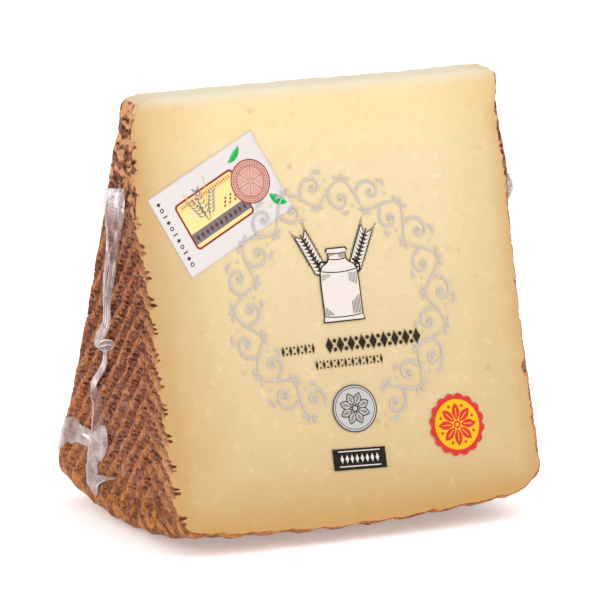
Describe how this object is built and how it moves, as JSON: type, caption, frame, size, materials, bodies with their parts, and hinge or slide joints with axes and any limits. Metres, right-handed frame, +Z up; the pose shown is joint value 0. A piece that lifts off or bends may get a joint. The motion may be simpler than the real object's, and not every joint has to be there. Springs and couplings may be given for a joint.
{
  "type": "wedge of hard cheese",
  "caption": "Wedge of hard sheep's milk cheese in tight clear film, standing on its patterned rind, with a small paper label on the cut face.",
  "frame": {"origin": "on the floor, under the middle of the pack's bounding box", "axes": "+X along the axis of the wheel that the wedge was cut from, +Y from the labelled cut face to the other cut face, +Z up from the rind to the blunt tip"},
  "size_m": [0.0978, 0.0602, 0.0967],
  "materials": {
    "cheese_and_rind": "satin",
    "label_paper": "matte",
    "clear_film": "gloss"
  },
  "bodies": {
    "root": {"manchego_wedge": "cheese_and_rind", "paper_label": "label_paper", "film_end_seal_left": "clear_film", "film_end_seal_right": "clear_film", "film_fin_seal": "clear_film"}
  },
  "joints": []
}
